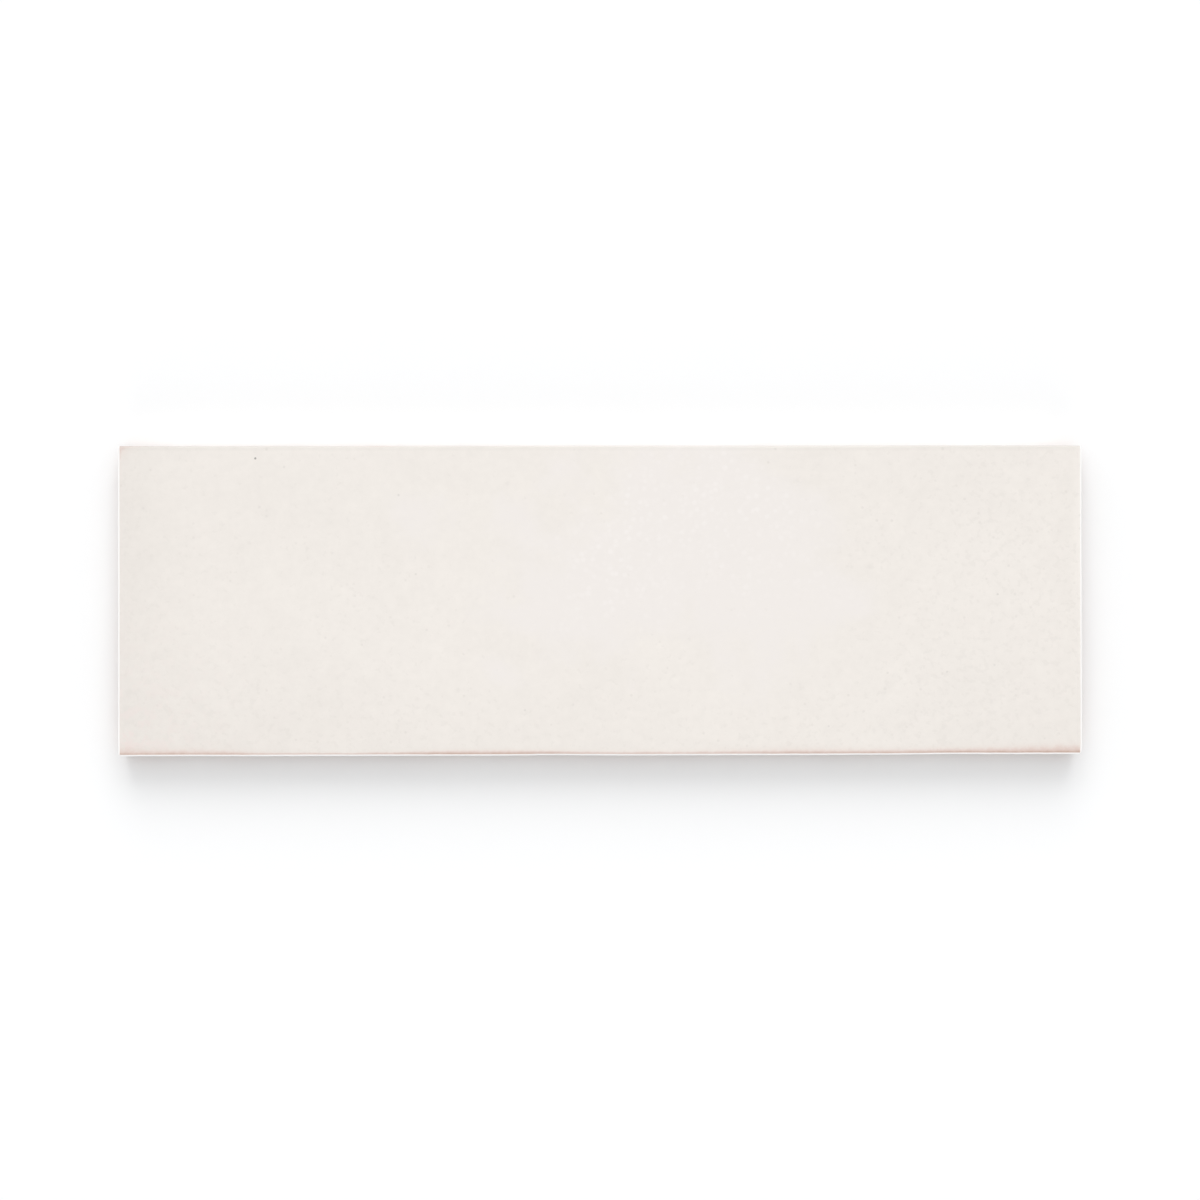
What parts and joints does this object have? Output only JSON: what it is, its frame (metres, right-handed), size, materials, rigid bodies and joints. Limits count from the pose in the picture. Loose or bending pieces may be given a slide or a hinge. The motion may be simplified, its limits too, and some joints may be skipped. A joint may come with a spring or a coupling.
{
  "type": "ceramic wall tile",
  "caption": "Rectangular glazed ceramic wall tile with a softly rolled face rim, drafted sides and a keyed back that beds in adhesive.",
  "frame": {"origin": "centre of the back, in the plane of its ribs", "axes": "+X along the length, +Y across the width, +Z out of the glazed face"},
  "size_m": [0.199, 0.064, 0.0085],
  "materials": {
    "glaze": "satin"
  },
  "bodies": {
    "root": {"tile": "glaze"}
  },
  "joints": []
}
